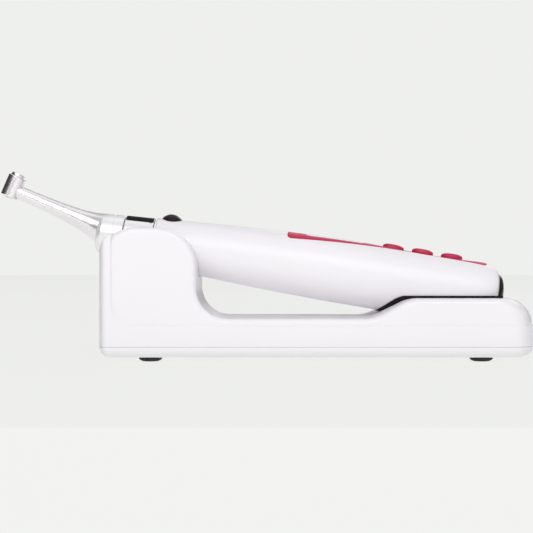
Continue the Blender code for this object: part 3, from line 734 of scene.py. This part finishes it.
def half_casing(way):
    """One half of the casing's wall, on the side of Y that way points to."""
    steps = 44
    along = stations(CASING[0][0], 140.0, 2.5) + stations(141.0, CASING[-1][0], 0.7)
    rings = []
    for x in along:
        points = []
        for wall, order in ((0.0, range(steps + 1)), (CASING_WALL, range(steps, -1, -1))):
            for step in order:
                y, z = casing_point(x, math.pi * step / steps, wall)
                points.append((x, way * max(SEAM, y), z))
        rings.append(points)
    return loft(rings)


def panel_width(x):
    return ease(PANEL_WIDTHS, x)


def window_width(_):
    return WINDOW_HALF_WIDTH


def strip(start, end, half_width, grow, lift, thickness, corner, across=20):
    """A strip of skin along the top. Its corners are rounded by an ellipse corner long."""
    rings = []
    first, last = start - grow, end + grow
    along = [first + corner * (1 - math.cos(math.pi / 2 * k / 6)) for k in range(6)]
    along += stations(first + corner, last - corner, 2.0)
    along += [last - corner * (1 - math.cos(math.pi / 2 * k / 6)) for k in range(5, -1, -1)]
    for x in along:
        near = min(x - first, last - x)
        shrink = 0.0
        if near < corner:
            shrink = corner - math.sqrt(max(0.0, corner ** 2 - (corner - near) ** 2))
        width = max(0.3, half_width(x) + grow - shrink)
        spots = [width * (2 * step / across - 1) for step in range(across + 1)]
        top = [(x, y, top_skin(x, y) + lift) for y in spots]
        below = [(x, y, top_skin(x, y) + lift - thickness) for y in reversed(spots)]
        rings.append(top + below)
    return loft(rings)


def oval(half_x, half_y, steps=48):
    return [(half_x * a, half_y * b) for a, b in circle(1.0, steps)]


def make_casing(paint):
    """The casing's two halves, with openings for the panel and the main button."""
    for way, node in ((-1, "casing_front_half"), (1, "casing_back_half")):
        half = solid(node + "_skin", half_casing(way))
        hole = solid("hole", strip(*PANEL_ENDS, panel_width, FIT, lift=3.0, thickness=9.0, corner=2.2))
        outline = circle(BUTTON_RADIUS + 0.18, 56, (BUTTON_CENTRE, 0.0))
        button = solid("button", prism(outline, 4.0, 20.0))
        combine(half, [hole, button])
        bevel_where(half, 0.16, lambda p: True, 55.0, 2)
        lay_along_hand(half)
        finish_piece(half, paint["white"], "handpiece", (node,))


def make_panel(paint):
    """The crimson panel on top, with openings for the window and the keys, and the window's glass."""
    cover = strip(*PANEL_ENDS, panel_width, 0.0, lift=0.1, thickness=1.5, corner=2.1)
    panel = solid("control_panel_cover", cover)
    opening = strip(*WINDOW_ENDS, window_width, FIT, lift=2.0, thickness=6.0, corner=1.6)
    cutters = [solid("window", opening)]
    for x in KEYS.values():
        outline = [(x + a, b) for a, b in oval(KEY_HALF[0] + 0.2, KEY_HALF[1] + 0.2)]
        cutters.append(solid("key", prism(outline, 4.0, 20.0)))
    combine(panel, cutters)
    bevel_where(panel, 0.2, lambda p: True, 50.0, 3)
    lay_along_hand(panel)
    finish_piece(panel, paint["crimson"], "handpiece", ("control_panel",))

    glass = strip(*WINDOW_ENDS, window_width, 0.0, lift=0.06, thickness=1.2, corner=1.5)
    window = solid("display_glass", glass)
    bevel_where(window, 0.15, lambda p: True, 50.0, 2)
    lay_along_hand(window)
    finish_piece(window, paint["window"], "handpiece", ("display_window",))


def make_keys(paint):
    """Three oval keys, whose tops follow the slope of the skin."""
    for node, x in KEYS.items():
        low, high = box_along(node, HAND)
        slope = (top_skin(x + 3, 0) - top_skin(x - 3, 0)) / 6
        key = turned(((low.z, 0, 0), (low.z, 1.1, 0), (low.z + 0.9, 1.1, 0), (low.z + 0.9, 0.98, 0),
                      (high.z - 1.5, 1.0, 0.25), (high.z - 0.75, 0.94, 0.25),
                      (high.z - 0.12, 0.66, 0.3), (high.z, 0.3, 0.2), (high.z, 0, 0)), 64, 5)
        stretch = Matrix.Diagonal((1.0, KEY_HALF[1], KEY_HALF[0], 1.0))
        bmesh.ops.transform(key, matrix=stretch, verts=key.verts)
        for vert in key.verts:
            share = max(0.0, vert.co.x - low.z - 1.0) / (high.z - low.z)
            vert.co.x += slope * vert.co.z * share
        made = solid(node + "_cap", key, HAND @ upright(x))
        bodies = frame["record"]["behaviour"]["bodies"]
        body = next(name for name, nodes in bodies.items() if node in nodes)
        finish_piece(made, paint["key"], body, (node,), 40.0)


def make_button(paint):
    """The main button: a low black dome."""
    low, high = box_along("main_button", HAND)
    r = BUTTON_RADIUS
    button = turned((
        (low.z, 0, 0), (low.z, r + 0.3, 0), (low.z + 0.6, r + 0.3, 0), (low.z + 0.6, r, 0),
        (high.z - 2.3, r, 0.1), (high.z - 1.25, r * 0.8, 1.2), (high.z - 0.35, r * 0.48, 1.2),
        (high.z, r * 0.2, 0.6), (high.z, 0, 0),
    ), 72, 6)
    made = solid("start_button_cap", button, HAND @ upright(BUTTON_CENTRE))
    finish_piece(made, paint["black"], "start_button", ("main_button",), 40.0)


def make_nose(paint):
    """The ring in the handpiece's front face."""
    ring = turned((
        (0.0, 6.6, 0.15), (0.0, 10.42, 0.3), (0.85, 10.47, 0.05), (0.85, 8.6, 0), (2.0, 8.5, 0),
        (2.0, 6.6, 0),
    ), 96, 4)
    made = solid("nose_ring_trim", ring, HAND)
    finish_piece(made, paint["white"], "handpiece", ("nose_ring",))


def make_tail(paint):
    """The black insert in the tail: a dome on a short rim, with a well for each contact pad."""
    low, high = box_along("tail_insert", HAND)
    rim = TAIL_START + 0.25
    corners = [(low.x, 0, 0), (low.x, 7.5, 0), (TAIL_START, 7.5, 0), (TAIL_START, TAIL_RADIUS, 0.1)]
    for step in range(1, 9):
        a = math.pi / 2 * step / 8
        radius = TAIL_RADIUS * math.cos(a) if step < 8 else 0.0
        corners.append((rim + (high.x - rim) * math.sin(a), radius, 0))
    insert = solid("tail_window", turned(corners, 80), HAND)
    pads = []
    for node in ("contact_pad_front", "contact_pad_back"):
        start, end = box_along(node, HAND)
        middle = (start + end) / 2
        well = turned(((start.x - 0.1, 0, 0), (start.x - 0.1, 1.75, 0), (end.x + 4.0, 1.75, 0),
                       (end.x + 4.0, 0, 0)), 32)
        pads.append(solid("well", well, HAND @ shift(0.0, middle.y, middle.z)))
    combine(insert, pads)
    finish_piece(insert, paint["black"], "handpiece", ("tail_insert",))


# The contra-angle

def make_collar(paint):
    """The coupling collar, with a groove near its back and a black band over its top, which also paints
    the dark reflection along the polished collar's top.
    """
    low, high = box_along("coupling_collar", HAND)
    front, back = COLLAR_RADII
    collar = turned((
        (low.x, 6.85, 0.1), (low.x, front - 0.22, 0.3), (low.x + 0.5, front, 0.2),
        (high.x - 1.6, back - 0.06, 0.1), (high.x - 1.45, back - 0.28, 0.05),
        (high.x - 1.15, back - 0.28, 0.05), (high.x - 1.0, back - 0.02, 0.1), (high.x, back, 0.2),
        (high.x, 6.85, 0.1),
    ), 112, 3)
    made = solid("collar_ring", collar, HAND)
    finish_piece(made, paint["bright"], "contra_angle", ("coupling_collar",))

    # The black strip covers only the collar's top: partly a band, partly a painted dark reflection.
    steps = 24
    rings = []
    for x in stations(low.x + 0.35, high.x - 0.2, 1.5):
        skin = front + (back - front) * (x - low.x) / (high.x - low.x)
        turns = [2 * step / steps - 1 for step in range(steps + 1)]
        angles = [math.radians(BAND_HALF_ANGLE * turn) for turn in turns]
        outer = [(x, (skin + 0.1) * math.sin(a), (skin + 0.1) * math.cos(a)) for a in angles]
        inner = [(x, (skin - 0.5) * math.sin(a), (skin - 0.5) * math.cos(a)) for a in angles]
        rings.append(outer + inner[::-1])
    band = solid("collar_band_and_dark_reflection", loft(rings), HAND)
    finish_piece(band, paint["band"], "contra_angle")


def make_neck(paint):
    """The neck, which narrows from the elbow to the head and ends at the head's bore."""
    reach = -(NECK.inverted() @ CHUCK.translation).x
    radii = ((-reach, NECK_TIP_RADIUS),) + NECK_RADII
    rings = []
    for x in stations(-reach, NECK_END, 0.8):
        rings.append([(x, y, z) for y, z in circle(ease(radii, x), 72)])
    neck = solid("angle_shell", loft(rings), NECK)
    bore = solid("bore", turned(((-6.0, 0, 0), (-6.0, 3.6, 0), (9.0, 3.6, 0), (9.0, 0, 0)), 72), CHUCK)
    combine(neck, [bore])
    finish_piece(neck, paint["satin"], "contra_angle", ("angle_body",), 38.0)


def make_sleeve(paint):
    """The bright sleeve of the elbow, on the handpiece's axis, with a fine groove round it."""
    sleeve = solid("elbow_sleeve", turned((
        (-24.6, 0, 0), (-24.6, 7.0, 1.2), (-23.0, 8.6, 1.5), (-20.5, 8.95, 2.0), (-18.0, 9.1, 0.05),
        (-17.85, 8.95, 0.02), (-17.55, 8.95, 0.02), (-17.4, 9.14, 0.05), (-13.6, 9.35, 0.2),
        (-13.35, 9.1, 0.05), (-13.35, 0, 0),
    ), 96, 6), HAND)
    finish_piece(sleeve, paint["bright"], "contra_angle", (), 38.0)


def make_head(paint):
    """The head's shell, and the push cap that closes its top."""
    head = solid("head_shell", turned((
        (HEAD_BOTTOM, SHANK_HOLE, 0.1), (HEAD_BOTTOM, 3.4, 0.2), (-3.3, 3.96, 0.4), (5.85, 3.97, 0.2),
        (HEAD_TOP, 3.7, 0.2), (HEAD_TOP, HEAD_BORE, 0.05), (-3.1, HEAD_BORE, 0.05),
        (-3.1, SHANK_HOLE, 0.05),
    ), 112, 4), CHUCK)
    finish_piece(head, paint["satin"], "contra_angle", (), 38.0)

    low, high = box_along("push_cap", CHUCK)
    cap = solid("release_cap_top", turned((
        (low.x, 0, 0), (low.x, 3.1, 0), (high.x - 0.95, 3.12, 0.1), (high.x - 0.85, 2.98, 0.05),
        (high.x - 0.7, 2.98, 0.05), (high.x - 0.6, 3.12, 0.1), (high.x - 0.12, 3.0, 0.2),
        (high.x, 2.4, 0.3), (high.x - 0.22, 1.0, 0.8), (high.x - 0.25, 0, 0),
    ), 72, 4), CHUCK)
    finish_piece(cap, paint["satin"], "release_cap", ("push_cap",), 38.0)


# CAD nodes that stay

def paint_nodes(paint):
    """Paints the CAD's nodes. What has no paint of its own here is steel."""
    kept = {
        "charging_board": "board", "main_board": "board", "power_socket": "black_matt",
        "contact_block": "black_matt", "motor_cradle": "black_matt", "display_module": "black_matt",
        "charge_pin_front": "gold", "charge_pin_back": "gold", "contact_pad_front": "gold",
        "contact_pad_back": "gold", "battery_clip_front": "gold", "battery_clip_rear": "gold",
        "battery_cell": "cell", "nose_seal": "rubber", "status_light": "lens",
    }
    for name, node in frame["nodes"].items():
        node.data.materials.clear()
        node.data.materials.append(paint[kept.get(name, "steel")])


# The studio

def make_camera():
    """A level camera in front of the object, a little over half a metre away."""
    scene = bpy.context.scene
    camera = bpy.data.cameras.new("camera")
    camera.lens = CAMERA_LENS
    camera.sensor_width = CAMERA_SENSOR
    camera.clip_start = 0.01
    camera.clip_end = 50.0
    holder = bpy.data.objects.new("camera", camera)
    holder.location = CAMERA_PLACE
    holder.rotation_euler = (math.pi / 2, 0.0, 0.0)
    scene.collection.objects.link(holder)
    scene.camera = holder
    scene.view_settings.view_transform = "Standard"


def glowing(name, colour, strength):
    """A material that only shines."""
    material = bpy.data.materials.new(name)
    material.use_nodes = True
    nodes = material.node_tree.nodes
    nodes.remove(nodes["Principled BSDF"])
    glow = nodes.new("ShaderNodeEmission")
    glow.inputs["Color"].default_value = (*colour, 1.0)
    glow.inputs["Strength"].default_value = strength
    material.node_tree.links.new(glow.outputs["Emission"], nodes["Material Output"].inputs["Surface"])
    return material


def make_stage():
    """A pale floor, a far wall seen only by the camera, and a bright card that the camera can't see."""
    floor_paint = Paint("studio_floor", (0.06, 0.06, 0.059), 0.9, Specular_IOR_Level=0.0,
                        Emission_Color=(*BACKDROP, 1.0), Emission_Strength=0.93)
    cloud = floor_paint.noise(300.0, 2.0)
    floor_paint.tint(cloud.outputs["Fac"], (0.059, 0.059, 0.058), (0.061, 0.061, 0.06))
    build = bmesh.new()
    bmesh.ops.create_circle(build, cap_ends=True, segments=96, radius=FLOOR_RADIUS)
    floor = solid("floor", build)
    floor.data.materials.append(floor_paint.material)

    rings = [[(x, y, z) for x, y in circle(WALL_RADIUS, 96)] for z in WALL_ENDS]
    wall = solid("wall", loft(rings, caps=False))
    wall.data.materials.append(glowing("studio_wall", BACKDROP, 1.0))
    wall.visible_diffuse = False
    wall.visible_glossy = False
    wall.visible_transmission = False
    wall.visible_shadow = False

    card = solid("card", prism(CARD_CORNERS, 2.0, 3.0))
    card.data.materials.append(glowing("studio_card", (1.0, 0.99, 1.0), 1.2))
    card.visible_camera = False
    card.visible_transmission = False
    card.visible_shadow = False


def make_lamps():
    """Large soft lamps: the key in front, and two weak ones above and behind."""
    for name, (place, width, height, power) in LAMPS.items():
        lamp = bpy.data.lights.new(name, "AREA")
        lamp.shape = "RECTANGLE"
        lamp.size = width
        lamp.size_y = height
        lamp.energy = power
        made = bpy.data.objects.new(name, lamp)
        made.location = place
        aim = Vector(AIM) - Vector(place)
        made.rotation_euler = aim.to_track_quat("-Z", "Y").to_euler()
        bpy.context.scene.collection.objects.link(made)


def make_sky():
    """Soft light from above, with a dark band over the horizon and a dark left side."""
    world = bpy.data.worlds.new("studio")
    world.use_nodes = True
    tree = world.node_tree
    place = tree.nodes.new("ShaderNodeTexCoord")
    split = tree.nodes.new("ShaderNodeSeparateXYZ")
    tree.links.new(place.outputs["Generated"], split.inputs["Vector"])
    ramp = tree.nodes.new("ShaderNodeValToRGB")
    ramp.color_ramp.elements[0].position = 0.0
    ramp.color_ramp.elements[0].color = (0.55, 0.55, 0.56, 1)
    ramp.color_ramp.elements[1].position = 1.0
    ramp.color_ramp.elements[1].color = (0.95, 0.95, 0.97, 1)
    for spot, level in SKY:
        element = ramp.color_ramp.elements.new(spot)
        element.color = (level, level * 0.98, level, 1)
    tree.links.new(split.outputs["Z"], ramp.inputs["Fac"])
    side = tree.nodes.new("ShaderNodeMapRange")
    side.inputs["From Min"].default_value = -0.72
    side.inputs["From Max"].default_value = -0.45
    side.inputs["To Min"].default_value = 0.04
    tree.links.new(split.outputs["X"], side.inputs["Value"])
    dim = tree.nodes.new("ShaderNodeVectorMath")
    dim.operation = "SCALE"
    tree.links.new(ramp.outputs["Color"], dim.inputs[0])
    tree.links.new(side.outputs["Result"], dim.inputs["Scale"])
    background = tree.nodes["Background"]
    tree.links.new(dim.outputs["Vector"], background.inputs["Color"])
    background.inputs["Strength"].default_value = 0.5
    bpy.context.scene.world = world


paint = make_paints()
make_camera()
make_stage()
make_lamps()
make_sky()
paint_nodes(paint)
make_dock_shell(paint)
make_shade_liner(paint)
make_dock_cover(paint)
make_feet(paint)
make_screws(paint)
make_casing(paint)
make_panel(paint)
make_keys(paint)
make_button(paint)
make_nose(paint)
make_tail(paint)
make_collar(paint)
make_neck(paint)
make_sleeve(paint)
make_head(paint)
